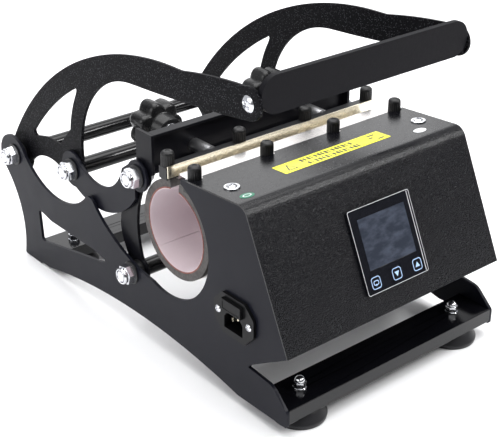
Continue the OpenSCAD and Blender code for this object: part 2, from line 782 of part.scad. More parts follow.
// Warning label and two oval stickers on the top
module labels() color([0.95, 0.85, 0.2]) in_frame() {
    on_top(label_at.x, label_at.y) translate([-label_size.x / 2, -label_size.y / 2, 0])
        cube([label_size.x, label_size.y, 0.2]);
    for (at = sticker_at) on_top(at.x, at.y) linear_extrude(0.2) polygon([
        for (a = [0:15:345]) [7 * cos(a), 4.5 * sin(a)]
    ]);
}

// Frame on the box's top at [x, y]
module on_top(x, y) {
    d = (box_fold - box_rear) / norm(box_fold - box_rear);
    t = (y - box_rear.x) / d.x;
    translate([x, y, box_rear.y + t * d.y]) rotate([atan2(-d.y, -d.x), 0, 0]) children();
}

left_base_plate();
right_base_plate();
front_cross_plate();
rear_cross_plate();
rubber_feet();
foot_bolts();
foot_acorn_nuts();
pivot_rods();
pivot_spacers();
pivot_nuts();
front_shell();
box_floor();
heat_shield();
shell_brackets();
shell_screws();
controller_case();
controller_panel();
display_window();
timer_key();
down_key();
up_key();
controller_board();
heater_relay();
power_inlet();
inlet_blades();
fuse_drawer();
fuse();
inlet_screws();
front_clamp_bar();
front_strip();
front_cap_nuts();
front_band();
front_foam();
front_mat();
rear_band();
rear_strip();
rear_foam();
rear_mat();
rear_clamp_bar();
rear_cap_nuts();
pressure_rods();
left_rocker();
right_rocker();
press_beam();
rocker_tube();
rocker_pins();
rod_sleeves();
left_knob();
right_knob();
left_link();
right_link();
link_pins();
left_arm();
right_arm();
handle_bar();
handle_screws();
handle_tubes();
crank_rod();
crank_nuts();
labels();
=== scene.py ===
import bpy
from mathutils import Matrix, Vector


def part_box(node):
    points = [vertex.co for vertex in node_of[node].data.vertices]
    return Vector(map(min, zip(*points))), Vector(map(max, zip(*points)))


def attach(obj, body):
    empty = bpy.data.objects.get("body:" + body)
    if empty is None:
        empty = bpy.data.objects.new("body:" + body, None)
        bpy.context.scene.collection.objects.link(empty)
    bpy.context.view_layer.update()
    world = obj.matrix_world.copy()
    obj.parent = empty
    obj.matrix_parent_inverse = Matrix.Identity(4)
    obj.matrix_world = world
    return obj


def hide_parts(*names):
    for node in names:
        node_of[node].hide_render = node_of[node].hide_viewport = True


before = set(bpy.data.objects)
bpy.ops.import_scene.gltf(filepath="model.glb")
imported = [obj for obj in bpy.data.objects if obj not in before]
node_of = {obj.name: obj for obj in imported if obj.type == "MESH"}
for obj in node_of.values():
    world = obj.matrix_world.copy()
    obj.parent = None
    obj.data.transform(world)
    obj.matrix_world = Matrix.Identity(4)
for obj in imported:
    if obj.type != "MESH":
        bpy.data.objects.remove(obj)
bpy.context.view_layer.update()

import math

import bmesh
import bpy
from mathutils import Matrix, Vector

MM = 0.001


# ---- Camera ----

AZIMUTH, ELEVATION, ROLL = (math.radians(a) for a in (-39.805, 27.177, 0.076))
TARGET = Vector((-0.02705, -0.05874, 0.10662))
DISTANCE = 1.10937

back = Vector((
    math.sin(AZIMUTH) * math.cos(ELEVATION),
    -math.cos(AZIMUTH) * math.cos(ELEVATION),
    math.sin(ELEVATION),
))
cam = bpy.data.objects.new("camera", bpy.data.cameras.new("camera"))
bpy.context.scene.collection.objects.link(cam)
cam.data.lens = 86.0
cam.data.sensor_width = 36.0
cam.data.clip_end = 50.0
side = Vector((math.cos(AZIMUTH), math.sin(AZIMUTH), 0.0))
up = back.cross(side)
side, up = (
    side * math.cos(ROLL) + up * math.sin(ROLL),
    up * math.cos(ROLL) - side * math.sin(ROLL),
)
cam.matrix_world = Matrix((
    (side.x, up.x, back.x, TARGET.x + back.x * DISTANCE),
    (side.y, up.y, back.y, TARGET.y + back.y * DISTANCE),
    (side.z, up.z, back.z, TARGET.z + back.z * DISTANCE),
    (0.0, 0.0, 0.0, 1.0),
))
bpy.context.scene.camera = cam
bpy.context.scene.view_settings.view_transform = "Standard"


# ---- Materials ----


class Shader:
    """A principled material with a few procedural layers."""

    def __init__(self, name, color, rough=0.4, metal=0.0, **sockets):
        self.mat = bpy.data.materials.new(name)
        self.mat.use_nodes = True
        self.nodes = self.mat.node_tree.nodes
        self.links = self.mat.node_tree.links
        self.bsdf = self.nodes["Principled BSDF"]
        self.color = (*color, 1.0)
        self.bsdf.inputs["Base Color"].default_value = self.color
        self.bsdf.inputs["Roughness"].default_value = rough
        self.bsdf.inputs["Metallic"].default_value = metal
        for key, value in sockets.items():
            self.bsdf.inputs[key.replace("_", " ")].default_value = value
        self.rough = rough
        self.bump_out = None
        self.color_out = None
        self.coord = self.nodes.new("ShaderNodeTexCoord").outputs["Object"]

    def add(self, kind, **values):
        node = self.nodes.new("ShaderNode" + kind)
        for key, value in values.items():
            if hasattr(node, key):
                setattr(node, key, value)
            else:
                node.inputs[key.replace("_", " ")].default_value = value
        return node

    def link(self, a, b):
        self.links.new(a, b)

    def stretched(self, scale):
        node = self.add("Mapping")
        node.inputs["Scale"].default_value = scale
        self.link(self.coord, node.inputs["Vector"])
        return node.outputs["Vector"]

    def noise(self, scale, detail=2.0, rough=0.5, vector=None):
        node = self.add("TexNoise", Scale=scale, Detail=detail, Roughness=rough)
        self.link(vector or self.coord, node.inputs["Vector"])
        return node.outputs["Fac"]

    def voronoi(self, scale, vector=None):
        node = self.add("TexVoronoi", Scale=scale)
        self.link(vector or self.coord, node.inputs["Vector"])
        return node.outputs["Distance"]

    def ramp(self, fac, low, high, a=0.0, b=1.0):
        node = self.add("MapRange")
        for key, value in zip(("From Min", "From Max", "To Min", "To Max"), (low, high, a, b)):
            node.inputs[key].default_value = value
        self.link(fac, node.inputs["Value"])
        return node.outputs["Result"]

    def masked(self, fac):
        """Fades fac out where the surface lies level."""
        split = self.add("SeparateXYZ")
        self.link(self.nodes.new("ShaderNodeTexCoord").outputs["Normal"], split.inputs["Vector"])
        node = self.add("Math", operation="MULTIPLY")
        self.link(fac, node.inputs[0])
        self.link(self.ramp(split.outputs["Z"], 0.97, 0.8, 0.12, 1.0), node.inputs[1])
        return node.outputs["Value"]

    def mix(self, fac, color):
        """Lays color over what is there, by fac."""
        node = self.nodes.new("ShaderNodeMix")
        node.data_type = "RGBA"
        self.link(fac, node.inputs["Factor"])
        if self.color_out is None:
            node.inputs["A"].default_value = self.color
        else:
            self.link(self.color_out, node.inputs["A"])
        node.inputs["B"].default_value = (*color, 1.0)
        self.color_out = node.outputs["Result"]
        self.link(self.color_out, self.bsdf.inputs["Base Color"])
        return self

    def roughness(self, fac, low, high):
        self.link(self.ramp(fac, 0.0, 1.0, low, high), self.bsdf.inputs["Roughness"])
        return self

    def bump(self, fac, distance, strength=1.0):
        node = self.add("Bump")
        node.inputs["Distance"].default_value = distance
        node.inputs["Strength"].default_value = strength
        self.link(fac, node.inputs["Height"])
        if self.bump_out is not None:
            self.link(self.bump_out, node.inputs["Normal"])
        self.bump_out = node.outputs["Normal"]
        self.link(self.bump_out, self.bsdf.inputs["Normal"])
        return self


def satin_paint(name, color, rough=0.42, gloss=0.28):
    """Smooth powder coat with a faint orange peel."""
    s = Shader(name, color, rough, Specular_IOR_Level=gloss)
    s.mix(s.ramp(s.noise(14, 3), 0.35, 0.7, 0.0, 0.5), [c * 1.35 for c in color])
    s.roughness(s.noise(60, 3), rough - 0.06, rough + 0.08)
    s.bump(s.noise(1500, 2), 0.00003, 0.6)
    return s.mat


def grain_paint(name, color, rough, flecks_and_glints, depth, cells=780, gloss=0.2):
    """Hammered powder coat: rounded grains, with light flecks (amount and tint) on all but level faces;
    the flecks are partly the coat's real speckle and partly painted glints of light.
    """
    amount, fleck_and_glint_tint = flecks_and_glints
    s = Shader(name, color, rough, Specular_IOR_Level=gloss)
    grain = s.noise(950, 2, 0.6)
    s.mix(s.ramp(grain, 0.5, 0.75, 0.0, 0.5), [c * 1.8 for c in color])
    # Light flecks, kept off level faces: partly real speckle of the coat, partly painted glints of light.
    cell = s.voronoi(cells)
    s.mix(s.masked(s.ramp(cell, amount, amount - 0.1)), fleck_and_glint_tint)
    s.roughness(s.noise(420, 2), rough - 0.08, rough + 0.12)
    s.bump(s.noise(300, 2), 0.00012, 0.35)
    s.bump(s.masked(grain), depth, 0.9)
    return s.mat


def metal(name, color, rough, streak=None):
    s = Shader(name, color, rough, 1.0)
    vector = s.stretched(streak) if streak else None
    s.mix(s.ramp(s.noise(120, 3, vector=vector), 0.4, 0.75, 0.0, 0.35), [c * 0.72 for c in color])
    s.roughness(s.noise(260, 3, vector=vector), rough - 0.05, rough + 0.12)
    s.bump(s.noise(700, 2, vector=vector), 0.00002, 0.5)
    return s.mat


def plastic(name, color, rough, grain=1800, depth=0.00004, gloss=0.35):
    s = Shader(name, color, rough, Specular_IOR_Level=gloss)
    s.mix(s.ramp(s.noise(90, 3), 0.4, 0.7, 0.0, 0.4), [c * 1.5 + 0.002 for c in color])
    s.roughness(s.noise(300, 2), rough - 0.05, rough + 0.07)
    s.bump(s.noise(grain, 2), depth, 0.6)
    return s.mat


def foam_material():
    s = Shader("silicone_foam", (0.068, 0.063, 0.062), 0.85)
    s.mix(s.ramp(s.noise(260, 4, 0.7), 0.35, 0.65, 0.0, 0.8), (0.13, 0.122, 0.118))
    # Darker spots in the pits of the pore bump: painted shade in the pores.
    s.mix(s.ramp(s.voronoi(900), 0.25, 0.1, 0.0, 0.8), (0.05, 0.045, 0.043))
    s.bump(s.noise(1000, 3, 0.7), 0.0003, 0.7)
    s.bump(s.voronoi(900), 0.0003, 0.5)
    return s.mat


def mat_material():
    s = Shader("heater_silicone", (0.68, 0.58, 0.61), 0.42)
    weave = s.add("TexWave", wave_type="BANDS", bands_direction="X")
    weave.inputs["Scale"].default_value = 160.0
    s.link(s.coord, weave.inputs["Vector"])
    s.mix(s.ramp(s.noise(30, 3), 0.35, 0.7, 0.0, 0.6), (0.77, 0.69, 0.72))
    s.bump(weave.outputs["Fac"], 0.00003, 0.4)
    s.bump(s.noise(500, 2), 0.00005, 0.5)
    return s.mat


def rim_material():
    s = Shader("heater_edge", (0.16, 0.045, 0.035), 0.6)
    s.mix(s.ramp(s.noise(240, 3), 0.4, 0.7, 0.0, 0.8), (0.33, 0.12, 0.09))
    s.bump(s.noise(800, 2), 0.0001, 0.6)
    return s.mat


def label_material(name, color):
    s = Shader(name, color, 0.38)
    s.mix(s.ramp(s.noise(70, 3), 0.4, 0.75, 0.0, 0.35), [c * 0.86 for c in color])
    s.bump(s.noise(900, 2), 0.00001, 0.5)
    return s.mat


def display_material():
    s = Shader("display_glass", (0.026, 0.031, 0.044), 0.12, Specular_IOR_Level=0.3)
    # Lighter bluish streaks on the glass: painted reflection.
    painted_reflection = s.noise(55, 4, 0.6, s.stretched((1.0, 2.2, 2.2)))
    s.mix(s.ramp(painted_reflection, 0.42, 0.66, 0.0, 0.9), (0.06, 0.07, 0.095))
    s.roughness(s.noise(120, 3), 0.1, 0.22)
    s.bump(s.noise(45, 3), 0.0006, 0.25)
    return s.mat


PLATE = satin_paint("satin_powder_coat", (0.0052, 0.0055, 0.0098), 0.38, 0.13)
BEAM = satin_paint("beam_paint", (0.004, 0.004, 0.006), 0.34, 0.12)
GLOSS = satin_paint("gloss_coat", (0.0025, 0.0025, 0.0035), 0.13, 0.35)
# On the arms the light flecks are partly real speckle and partly painted glints; on the handle they are
# the coat's fine grain.
GRAIN = grain_paint(
    "hammered_black", (0.0015, 0.0015, 0.0024), 0.42, (0.3, (0.05, 0.05, 0.056)), 0.0003, 560, 0.05)
# The shell's light flecks are painted sparkle: glints of light on the hammered coat.
SHELL = grain_paint(
    "shell_black", (0.0022, 0.0022, 0.0034), 0.22, (0.1, (0.1, 0.1, 0.11)), 0.0004, 430, 0.36)
HANDLE = grain_paint(
    "handle_black", (0.0038, 0.0036, 0.0052), 0.5, (0.2, (0.014, 0.014, 0.016)), 0.00012, 780, 0.1)
TUBE = plastic("gloss_black", (0.004, 0.004, 0.0045), 0.18, 900, 0.00001)
OXIDE = plastic("black_oxide", (0.009, 0.009, 0.01), 0.38)
ZINC = metal("zinc_plate", (0.76, 0.77, 0.8), 0.13)
CHROME = metal("polished_rod", (0.9, 0.9, 0.92), 0.3, (60.0, 3.0, 60.0))
STRIP = metal("warm_stainless", (1.0, 0.94, 0.76), 0.24, (1.0, 30.0, 30.0))
STEEL = metal("bright_stainless", (0.86, 0.83, 0.81), 0.25, (1.0, 30.0, 30.0))
NYLON = plastic("nylon_ring", (0.008, 0.01, 0.04), 0.4)
KNOB = plastic("phenolic", (0.007, 0.007, 0.0075), 0.27, 500, 0.00003)
CAP = plastic("cap_plastic", (0.008, 0.008, 0.0085), 0.35, 900, 0.00004)
RUBBER = plastic("black_rubber", (0.009, 0.009, 0.0105), 0.4, 300, 0.00008)
INLET = plastic("inlet_plastic", (0.004, 0.004, 0.0045), 0.3, 1800, 0.00004, 0.15)
PANEL = plastic("panel_film", (0.006, 0.0065, 0.009), 0.1, 200, 0.00002)
FOAM = foam_material()
MAT = mat_material()
RIM = rim_material()
DISPLAY = display_material()
BOARD = plastic("board", (0.02, 0.12, 0.05), 0.35)
BRASS = metal("plated_brass", (0.85, 0.78, 0.6), 0.25)
YELLOW = label_material("yellow_vinyl", (0.9, 0.86, 0.055))
GREEN = label_material("green_vinyl", (0.015, 0.16, 0.09))
WHITE = label_material("white_vinyl", (0.85, 0.86, 0.88))
INK = label_material("black_ink", (0.025, 0.025, 0.02))
CYAN = label_material("key_outline", (0.4, 0.56, 0.82))
EDGE = plastic("panel_edge", (0.6, 0.6, 0.62), 0.12)

FINISH = {
    "left_base_plate": PLATE, "right_base_plate": PLATE, "left_link": PLATE, "right_link": PLATE,
    "left_rocker": BEAM, "right_rocker": BEAM, "press_beam": BEAM, "shell_brackets": BEAM,
    "front_cross_plate": GLOSS, "rear_cross_plate": GLOSS, "box_floor": BEAM,
    "front_shell": SHELL, "left_arm": GRAIN, "right_arm": GRAIN, "handle_bar": HANDLE,
    "handle_tubes": TUBE, "rocker_tube": TUBE, "pivot_spacers": OXIDE, "front_clamp_bar": OXIDE,
    "rear_clamp_bar": OXIDE, "pivot_rods": ZINC, "crank_rod": ZINC, "rocker_pins": ZINC,
    "foot_bolts": ZINC, "rod_sleeves": ZINC, "pressure_rods": CHROME, "rear_strip": STRIP,
    "front_strip": STEEL, "front_band": STEEL, "rear_band": STEEL, "heat_shield": STEEL,
    "front_foam": FOAM, "rear_foam": FOAM, "front_mat": MAT, "rear_mat": MAT,
    "controller_case": CAP, "controller_panel": PANEL, "display_window": DISPLAY,
    "timer_key": PANEL, "down_key": PANEL, "up_key": PANEL, "controller_board": BOARD,
    "heater_relay": CAP, "power_inlet": INLET, "inlet_blades": BRASS, "fuse_drawer": INLET,
    "fuse": BRASS, "rubber_feet": RUBBER, "labels": YELLOW,
}


def paint(obj, material):
    obj.data.materials.clear()
    obj.data.materials.append(material)


for name, material in FINISH.items():
    paint(node_of[name], material)


# ---- Mesh tools ----


def finish(name, bm, material, body, replaces=(), angle=35.0):
    bmesh.ops.remove_doubles(bm, verts=bm.verts, dist=1e-7)
    bmesh.ops.recalc_face_normals(bm, faces=bm.faces)
    mesh = bpy.data.meshes.new(name)
    bm.to_mesh(mesh)
    bm.free()
    for poly in mesh.polygons:
        poly.use_smooth = True
    mesh.set_sharp_from_angle(angle=math.radians(angle))
    obj = bpy.data.objects.new(name, mesh)
    bpy.context.scene.collection.objects.link(obj)
    mats = material if isinstance(material, (list, tuple)) else [material]
    for m in mats:
        obj.data.materials.append(m)
    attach(obj, body)
    if replaces:
        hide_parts(*replaces)
    return obj


def rings(bm, loops, closed=False, cap=True, mat=0):
    """Skins a list of point loops of equal length; caps the first and last loop."""
    rows = [[bm.verts.new(p) for p in loop] for loop in loops]
    n = len(rows[0])
    pairs = list(zip(rows, rows[1:])) + ([(rows[-1], rows[0])] if closed else [])
    for a, b in pairs:
        for i in range(n):
            j = (i + 1) % n
            face = bm.faces.new((a[i], a[j], b[j], b[i]))
            face.material_index = mat
    if cap and not closed:
        for row in (rows[0], rows[-1]):
            bm.faces.new(row).material_index = mat
    return rows


def lathe(bm, place, profile, n=48, shape=None, cap=True, mat=0):
    """Turns [radius, height] points in mm about place's Z; shape(angle, r, z) may change a radius."""
    loops = []
    for r, z in profile:
        loop = []
        for i in range(n):
            a = 2 * math.pi * i / n
            rr = shape(a, r, z) if shape else r
            loop.append(place @ Vector((rr * math.cos(a) * MM, rr * math.sin(a) * MM, z * MM)))
        loops.append(loop)
    rings(bm, loops, cap=cap, mat=mat)


def prism(bm, place, outline, z0, z1, chamfer=0.0, mat=0):
    """Upright prism in mm with a small chamfer at its top; outline is [x, y] about the middle."""
    def loop(z, inset):
        pts = []
        m = len(outline)
        for i in range(m):
            p, q, s = (Vector(outline[(i + k) % m]) for k in (-1, 0, 1))
            d0, d1 = (q - p).normalized(), (s - q).normalized()
            n0, n1 = Vector((-d0.y, d0.x)), Vector((-d1.y, d1.x))
            v = q + (n0 + n1) / (1 + n0.dot(n1)) * inset
            pts.append(place @ Vector((v.x * MM, v.y * MM, z * MM)))
        return pts
    loops = [loop(z0, 0.0), loop(z1 - chamfer, 0.0)]
    if chamfer:
        loops.append(loop(z1 - chamfer * 0.3, chamfer * 0.3))
        loops.append(loop(z1, chamfer))
    rings(bm, loops, mat=mat)


def rounded_box(w, h, r, n=6):
    pts = []
    for cx, cy, a0 in ((w / 2 - r, h / 2 - r, 0), (-w / 2 + r, h / 2 - r, 90),
                       (-w / 2 + r, -h / 2 + r, 180), (w / 2 - r, -h / 2 + r, 270)):
        for i in range(n + 1):
            a = math.radians(a0 + 90 * i / n)
            pts.append((cx + r * math.cos(a), cy + r * math.sin(a)))
    return pts


def frame_at(origin, z, x=None):
    """Placing matrix with local Z along z."""
    z = Vector(z).normalized()
    x = Vector(x) if x else (Vector((0, 1, 0)) if abs(z.x) > 0.9 else Vector((1, 0, 0)))
    x = (x - z * x.dot(z)).normalized()
    y = z.cross(x)
    return Matrix((
        (x.x, y.x, z.x, origin[0]), (x.y, y.y, z.y, origin[1]),
        (x.z, y.z, z.z, origin[2]), (0, 0, 0, 1),
    ))


def middle(box):
    """Middle of a box given as its low and high corners."""
    return (Vector(box[0]) + Vector(box[1])) / 2


def islands(node):
    """Boxes (low, high) of the separate solids in a CAD node, in the row frame."""
    bm = bmesh.new()
    bm.from_mesh(node_of[node].data)
    bmesh.ops.remove_doubles(bm, verts=bm.verts, dist=1e-6)
    bm.verts.ensure_lookup_table()
    seen, out = set(), []
    for v in bm.verts:
        if v.index in seen:
            continue
        stack, pts = [v], []
        seen.add(v.index)
        while stack:
            w = stack.pop()
            pts.append(w.co.copy())
            for e in w.link_edges:
                o = e.other_vert(w)
                if o.index not in seen:
                    seen.add(o.index)
                    stack.append(o)
        out.append((
            Vector([min(p[k] for p in pts) for k in range(3)]),
            Vector([max(p[k] for p in pts) for k in range(3)]),
        ))
    bm.free()
    return sorted(out, key=lambda b: (round(b[0].y, 3), round(b[0].x, 3)))


def bevelled(name, width, segments=2, angle=35.0):
    """Softens a CAD node's edges without changing its mesh."""
    obj = node_of[name]
    weld = obj.modifiers.new("weld", "WELD")
    weld.merge_threshold = 1e-6
    mod = obj.modifiers.new("bevel", "BEVEL")
    mod.width = width * MM
    mod.segments = segments
    mod.limit_method = "ANGLE"
    mod.angle_limit = math.radians(angle)
    mod.use_clamp_overlap = True
    mod.harden_normals = False


# ---- Nuts, washers and threaded ends ----


def hexagon(af, turn=0.0):
    r = af / math.sqrt(3)
    corners = [math.radians(60 * i + turn) for i in range(6)]
    return [(r * math.cos(a), r * math.sin(a)) for a in corners]


def lock_nut(bm, place, turn):
    """Self-locking nut on a black washer, whose black partly stands for the contact shadow round the nut;
    materials 0 zinc, 1 nylon, 2 black.
    """
    af = 17.0
    washer_t, hex_h = 1.5, 7.6
    z = washer_t
    # Black washer: partly a real washer, partly painted contact shadow round the nut.
    lathe(bm, place, [(5, 0), (10.6, 0), (10.9, 0.3), (10.9, 1.2), (10.6, z), (5, z)], 40, mat=2)
    prism(bm, place, hexagon(af, turn), z, z + hex_h, 0.7)
    collar = [(5.0, z + 7), (af * 0.47, z + 7.3), (af * 0.475, z + 9.2), (af * 0.455, z + 10.6)]
    collar += [(af * 0.42, z + 11.2), (af * 0.36, z + 11.2), (af * 0.345, z + 10.6), (5.0, z + 10.4)]
    lathe(bm, place, collar, 40)
    ring = [(af * 0.35, z + 9.0), (af * 0.35, z + 10.65), (af * 0.32, z + 10.8)]
    ring += [(5.2, z + 10.4), (5.0, z + 9.4)]
    lathe(bm, place, ring, 40, mat=1)


def nuts(name, node, face, body):
    """A lock nut at each solid of node, standing on the outer face x."""
    turns = [12, 40, 25, 4]
    bm = bmesh.new()
    for k, box in enumerate(islands(node)):
        at = middle(box)
        sign = 1 if at.x > 0 else -1
        place = frame_at((sign * face, at.y, at.z), (sign, 0, 0))
        lock_nut(bm, place, turns[k % 4])
    finish(name, bm, [ZINC, NYLON, OXIDE, CHROME], body, (node,))


nuts("pivot_lock_nuts", "pivot_nuts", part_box("right_base_plate")[1].x, "base")
nuts("crank_lock_nuts", "crank_nuts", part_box("right_link")[1].x + 0.2 * MM, "links")
nuts("link_lock_nuts", "link_pins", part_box("right_link")[1].x, "links")


def rod_ends(name, node, outer, body):
    """Threaded stubs that show in the middle of the nuts; outer is the rod end's x in mm."""
    r, stub = 4.9, 3.2
    bm = bmesh.new()
    for box in islands(node):
        at = middle(box)
        for sign in (-1, 1):
            reach = box[1].x if sign > 0 else -box[0].x
            if reach < outer * MM * 0.9:
                continue
            place = frame_at((sign * (outer - stub) * MM, at.y, at.z), (sign, 0, 0))
            profile = [(r, 0.0)]
            for i in range(3):
                profile += [(r, 0.3 + i * 1.0), (r - 0.45, 0.8 + i * 1.0)]
            profile += [(r, stub), (r - 0.9, 3.6), (0.4, 3.65)]
            lathe(bm, place, profile, 32)
    finish(name, bm, CHROME, body)


rod_ends("pivot_rod_ends", "pivot_rods", 140.4, "base")
rod_ends("crank_rod_ends", "crank_rod", 135.8, "links")
rod_ends("link_pin_ends", "link_pins", 136.0, "links")


# ---- Screws ----


def cross_screw(bm, place, r, h, flange=None):
    """Domed head with a cross recess cut as a stepped well."""
    n = 64
    slot_w, slot_l, depth = r * 0.17, r * 0.62, h * 0.5

    def dome(d):
        return h * (1 - (d / r) ** 2 * 0.75) if d < r * 0.93 else h * 0.3

    def rim(z):
        angles = [2 * math.pi * i / n for i in range(n)]
        return [place @ Vector((r * math.cos(a) * MM, r * math.sin(a) * MM, z * MM)) for a in angles]

    if flange:
        profile = [(0.5, 0), (flange, 0), (flange, 0.7), (flange - 0.4, 1.0), (r * 0.8, 1.0)]
        lathe(bm, place, profile, 40)
    rows = []
    for q in (0.12, 0.2, 0.3, 0.42, 0.54, 0.6, 0.66, 0.75, 0.86, 0.93):
        loop = []
        for i in range(n):
            a = 2 * math.pi * i / n
            d = q * r
            x, y = d * math.cos(a), d * math.sin(a)
            inside = (abs(x) < slot_w and abs(y) < slot_l) or (abs(y) < slot_w and abs(x) < slot_l)
            z = dome(d) - (depth if inside else 0.0)
            loop.append(place @ Vector((x * MM, y * MM, z * MM)))
        rows.append(loop)
    rows += [rim(h * 0.18), rim(0)]
    rings(bm, rows)


bm = bmesh.new()
lo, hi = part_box("left_arm")
for box in islands("handle_screws"):
    sign = 1 if box[0].x + box[1].x > 0 else -1
    y, z = (box[0].y + box[1].y) / 2, (box[0].z + box[1].z) / 2
    cross_screw(bm, frame_at((sign * abs(lo.x), y, z), (sign, 0, 0), (0, 0.8, 0.6)), 7.0, 3.4)
    inner = frame_at((sign * (abs(hi.x) - 3 * MM), y, z), (-sign, 0, 0))
    prism(bm, inner, hexagon(13, 10), 0, 5, 0.5)
    lathe(bm, inner, [(3.9, -4), (3.9, 7), (3.4, 7.4), (0.3, 7.4)], 24)
finish("handle_end_screws", bm, ZINC, "handle", ("handle_screws",), 30)

bm = bmesh.new()
# The top of the shell drops 5 mm over 75 mm
shell_slope = math.atan2(5.0, 75.0)
top_normal = Vector((0, math.sin(shell_slope), math.cos(shell_slope)))
for box in islands("shell_screws"):
    x, y = (box[0].x + box[1].x) / 2, (box[0].y + box[1].y) / 2
    origin = Vector((x, y, box[1].z)) - top_normal * 3.9 * MM
    cross_screw(bm, frame_at(origin, top_normal, (1, 0.5, 0)), 5.2, 3.0, 7.0)
finish("shell_top_screws", bm, ZINC, "base", ("shell_screws",), 30)

bm = bmesh.new()
lo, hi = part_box("power_inlet")
for box in islands("inlet_screws"):
    y, z = (box[0].y + box[1].y) / 2, (box[0].z + box[1].z) / 2
    if box[0].x > -0.125:
        continue
    cross_screw(bm, frame_at((lo.x, y, z), (-1, 0, 0), (0, 0.7, 0.7)), 3.4, 2.1)
    lathe(bm, frame_at((lo.x, y, z), (1, 0, 0)), [(1.7, 0), (1.7, 12), (0.2, 12.2)], 20)
    prism(bm, frame_at((lo.x + 6.0 * MM, y, z), (1, 0, 0)), hexagon(5.5), 0, 2.4, 0.3)
finish("inlet_cross_screws", bm, ZINC, "base", ("inlet_screws",), 30)


# ---- Domed nuts on the feet ----

bm = bmesh.new()
for box in islands("foot_acorn_nuts"):
    x, y = (box[0].x + box[1].x) / 2, (box[0].y + box[1].y) / 2
    place = frame_at((x, y, box[0].z), (0, 0, 1), (1, 0, 0))
    lathe(bm, place, [(3, 0), (5.8, 0), (6.0, 0.2), (6.0, 0.8), (5.8, 1.0), (3, 1.0)], 36)
    prism(bm, place, hexagon(10, 20), 1.0, 6.0, 0.5)
    dome = [(4.6, 5.8), (4.7, 6.4)] + [
        (4.7 * math.cos(math.radians(a)), 6.4 + 4.3 * math.sin(math.radians(a))) for a in range(15, 90, 15)
    ] + [(0.3, 10.7)]
    lathe(bm, place, dome, 36)
finish("foot_domed_nuts", bm, ZINC, "base", ("foot_acorn_nuts",))


# ---- Ribbed caps on the clamp bars ----


def ribbed_caps(name, node, z, body):
    """Moulded cap with fine ribs up its side and a domed top."""
    bm = bmesh.new()
    boxes = islands(node)
    for box in boxes:
        x, y, top = (box[0].x + box[1].x) / 2, (box[0].y + box[1].y) / 2, box[1].z
        place = frame_at((x, y, z), (0, 0, 1), (1, 0, 0))
        h = (top - z) / MM

        def ribs(a, r, zz, h=h):
            if zz < 0.4 or zz > h - 3.2 or r < 5:
                return r
            return r - 0.42 * (0.5 - 0.5 * math.cos(20 * a)) ** 0.6

        profile = [(2.4, -10.0), (2.4, 0), (5.7, 0), (6.0, 0.35), (6.0, 0.6)]
        profile += [(6.0, 0.6 + (h - 4.0) * k / 4) for k in (1, 2, 3, 4)]
        profile += [(5.95, h - 3.1)]
        for a in (20, 40, 60, 80):
            c, t = math.cos(math.radians(a)), math.sin(math.radians(a))
            profile += [(2.55 + 3.4 * c, h - 3.1 + 3.1 * t)]
        profile += [(2.2, h - 0.02), (1.9, h - 0.5), (0.3, h - 0.6)]
        lathe(bm, place, profile, 120, ribs)
    return finish(name, bm, CAP, body, (node,), 40)


ribbed_caps("front_ribbed_caps", "front_cap_nuts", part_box("front_strip")[1].z, "base")
ribbed_caps("rear_ribbed_caps", "rear_cap_nuts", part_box("rear_clamp_bar")[1].z, "clamp_bar")


# ---- Star knobs ----


def star_knob(name, node, side):
    """Seven rounded lobes with soft edges, a tapered hub and a metal insert; side is -1 or 1."""
    lo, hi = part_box(node)
    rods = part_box("pressure_rods")
    rod_r = (rods[1].z - rods[0].z) / 2
    x, z = rods[(side + 1) // 2].x - side * rod_r, rods[0].z + rod_r
    place = frame_at((x, lo.y, z), (0, 1, 0), (1, 0, 0))
    length = (hi.y - lo.y) / MM
    outer = (hi.x - x) / MM
    valley = 5.2

    def lobe(a, r, zz):
        if r < 16:
            return r
        wave = (0.5 + 0.5 * math.cos(7 * a)) ** 0.6
        return r - valley * (1 - wave)

    start = length - 22
    bm = bmesh.new()
    profile = [(6.2, 0), (12.6, 0), (13.4, 0.8), (13.9, start - 1.5), (15.5, start - 0.2)]
    profile += [(outer - 3.4, start + 0.1), (outer - 1.6, start + 0.9), (outer - 0.5, start + 2.4)]
    profile += [(outer, start + 5), (outer, start + 11), (outer, length - 5)]
    profile += [(outer - 0.4, length - 2.8), (outer - 1.4, length - 1.2), (outer - 3.2, length - 0.2)]
    profile += [(outer - 5.5, length), (15.6, length), (14.5, length - 0.4), (13.5, length - 1.6)]
    profile += [(12.5, length - 2.2), (9.2, length - 2.4)]
    profile += [(9.0, length - 2.2), (8.6, length - 1.8), (5.3, length - 1.8), (5.2, length - 4)]
    lathe(bm, place, profile, 168, lobe)
    finish(name, bm, [KNOB], node, (node,), 50)
    bm = bmesh.new()
    lathe(bm, place, [(5.1, -0.1), (8.6, -0.1), (9.0, 0.3), (9.0, 1.4), (12.3, 1.5)], 40)
    lathe(bm, place, [(5.1, length - 1.7), (8.4, length - 1.7), (8.6, length - 2.0)], 40)
    finish(name + "_insert", bm, ZINC, node)


star_knob("left_star_knob", "left_knob", -1)
star_knob("right_star_knob", "right_knob", 1)


# ---- Pressed edge of the heating mat and its overlap ----


def arc_strip(bm, centre, r0, r1, x0, x1, a0, a1, n=64):
    """Closed curved strip between two radii (mm) about the heater's line."""
    loops = []
    for i in range(n + 1):
        a = math.radians(a0 + (a1 - a0) * i / n)
        loops.append([
            Vector((x, centre[0] + r * MM * math.cos(a), centre[1] + r * MM * math.sin(a)))
            for r, x in ((r0, x0), (r1, x0), (r1, x1), (r0, x1))
        ])
    rings(bm, loops)


